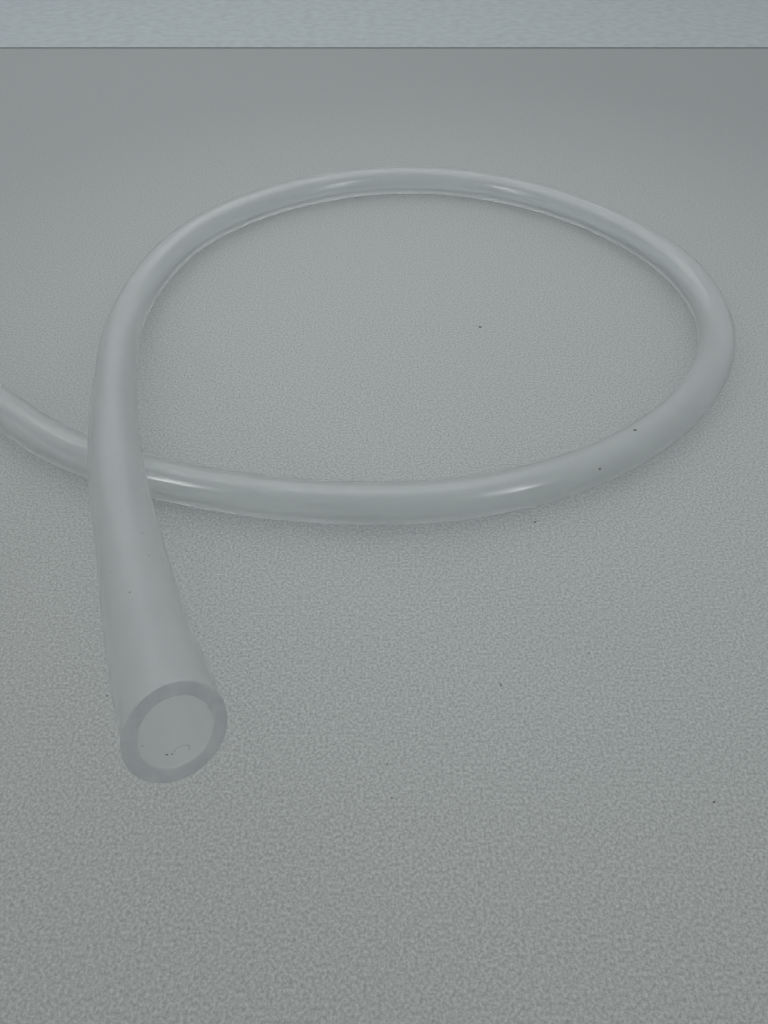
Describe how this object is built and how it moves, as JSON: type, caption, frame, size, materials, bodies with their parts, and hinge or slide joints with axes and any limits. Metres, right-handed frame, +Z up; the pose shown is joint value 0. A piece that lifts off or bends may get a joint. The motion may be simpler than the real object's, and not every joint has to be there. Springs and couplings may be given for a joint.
{
  "type": "silicone tubing",
  "caption": "Length of soft milky tubing with a round bore, lying in one open loop that crosses itself, with one plain cut end raised by the tube's own curl.",
  "frame": {"origin": "on the bench, under the middle of the whole piece", "axes": "+Z up from the bench, +X to the right and +Y away from the raised end"},
  "size_m": [0.3581, 0.3807, 0.0949],
  "materials": {
    "silicone": "milky translucent, smooth and softly glossy"
  },
  "bodies": {
    "root": {"tube": "silicone"}
  },
  "joints": []
}
